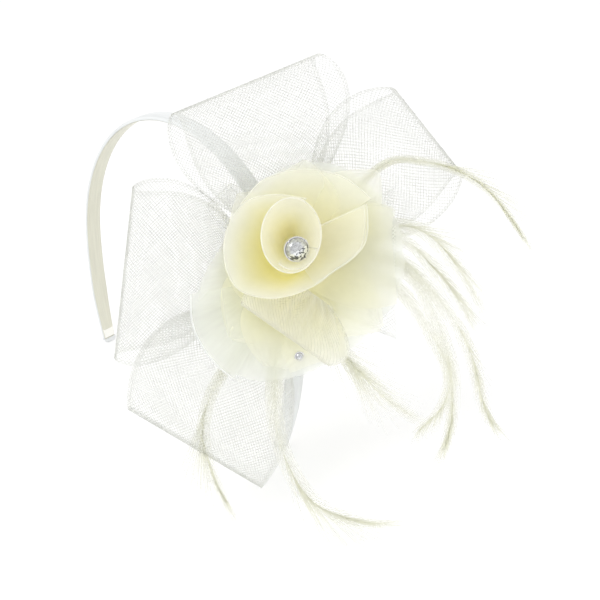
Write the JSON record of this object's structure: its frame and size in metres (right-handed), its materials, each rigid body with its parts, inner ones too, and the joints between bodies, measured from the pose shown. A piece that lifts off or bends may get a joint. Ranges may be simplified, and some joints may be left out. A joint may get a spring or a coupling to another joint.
{
  "type": "fascinator headpiece",
  "caption": "Ivory fascinator on a satin-covered headband: felt base, crin loops, tulle frill, organza rose with a crystal, and a spray of feathers.",
  "frame": {"origin": "midway between the two band tips, on the level of both tips", "axes": "+Z from the tips up to the crown of the band, +X to the side that carries the flower, +Y to the back of the wearer's head"},
  "size_m": [0.2092, 0.1536, 0.1778],
  "materials": {
    "core_plastic": "flexible moulded plastic strip",
    "satin": "polyester satin, soft sheen",
    "liner_ribbon": "cream ribbon glued inside the band",
    "felt": "stiffened felt",
    "glue": "hardened glue",
    "stem_tape": "wound cloth tape",
    "thread": "polyester sewing thread",
    "crin": "open bias-braided nylon mesh, see-through",
    "tulle": "soft fine net, see-through",
    "leaf_organza": "crisp sheer organza, heat-cut edge",
    "rose_organza": "crisp sheer organza, heat-cut edge",
    "crystal": "faceted clear crystal",
    "silver": "silvered metal cup with claws",
    "feather": "stripped plume with loose barbs"
  },
  "bodies": {
    "root": {"band_core": "core_plastic", "band_satin": "satin", "band_liner": "liner_ribbon", "tip_far": "satin", "tip_near": "satin", "felt_patch": "felt", "glue_pad": "glue", "base_disc": "felt", "stem": "stem_tape", "stem_thread": "thread", "crin_loop_top": "crin", "crin_loop_left": "crin", "crin_loop_lower": "crin", "crin_loop_right": "crin", "crin_tail": "crin", "crin_small_loop": "crin", "crin_petal": "crin", "tulle_frill": "tulle", "leaf_1": "leaf_organza", "leaf_2": "leaf_organza", "leaf_3": "leaf_organza", "leaf_4": "leaf_organza", "leaf_5": "leaf_organza", "leaf_6": "leaf_organza", "leaf_7": "leaf_organza", "leaf_8": "leaf_organza", "leaf_9": "leaf_organza", "leaf_10": "leaf_organza", "rose_back_petal": "rose_organza", "rose_outer_petal": "rose_organza", "rose_cone": "rose_organza", "rose_heart": "rose_organza", "crystal": "crystal", "crystal_cup": "silver", "small_crystal": "crystal", "small_cup": "silver", "feather_1": "feather", "feather_2": "feather", "feather_3": "feather", "feather_4": "feather", "feather_5": "feather", "feather_6": "feather", "feather_7": "feather", "feather_8": "feather", "feather_9": "feather", "feather_tie_side": "thread", "feather_tie_lower": "thread"}
  },
  "joints": []
}
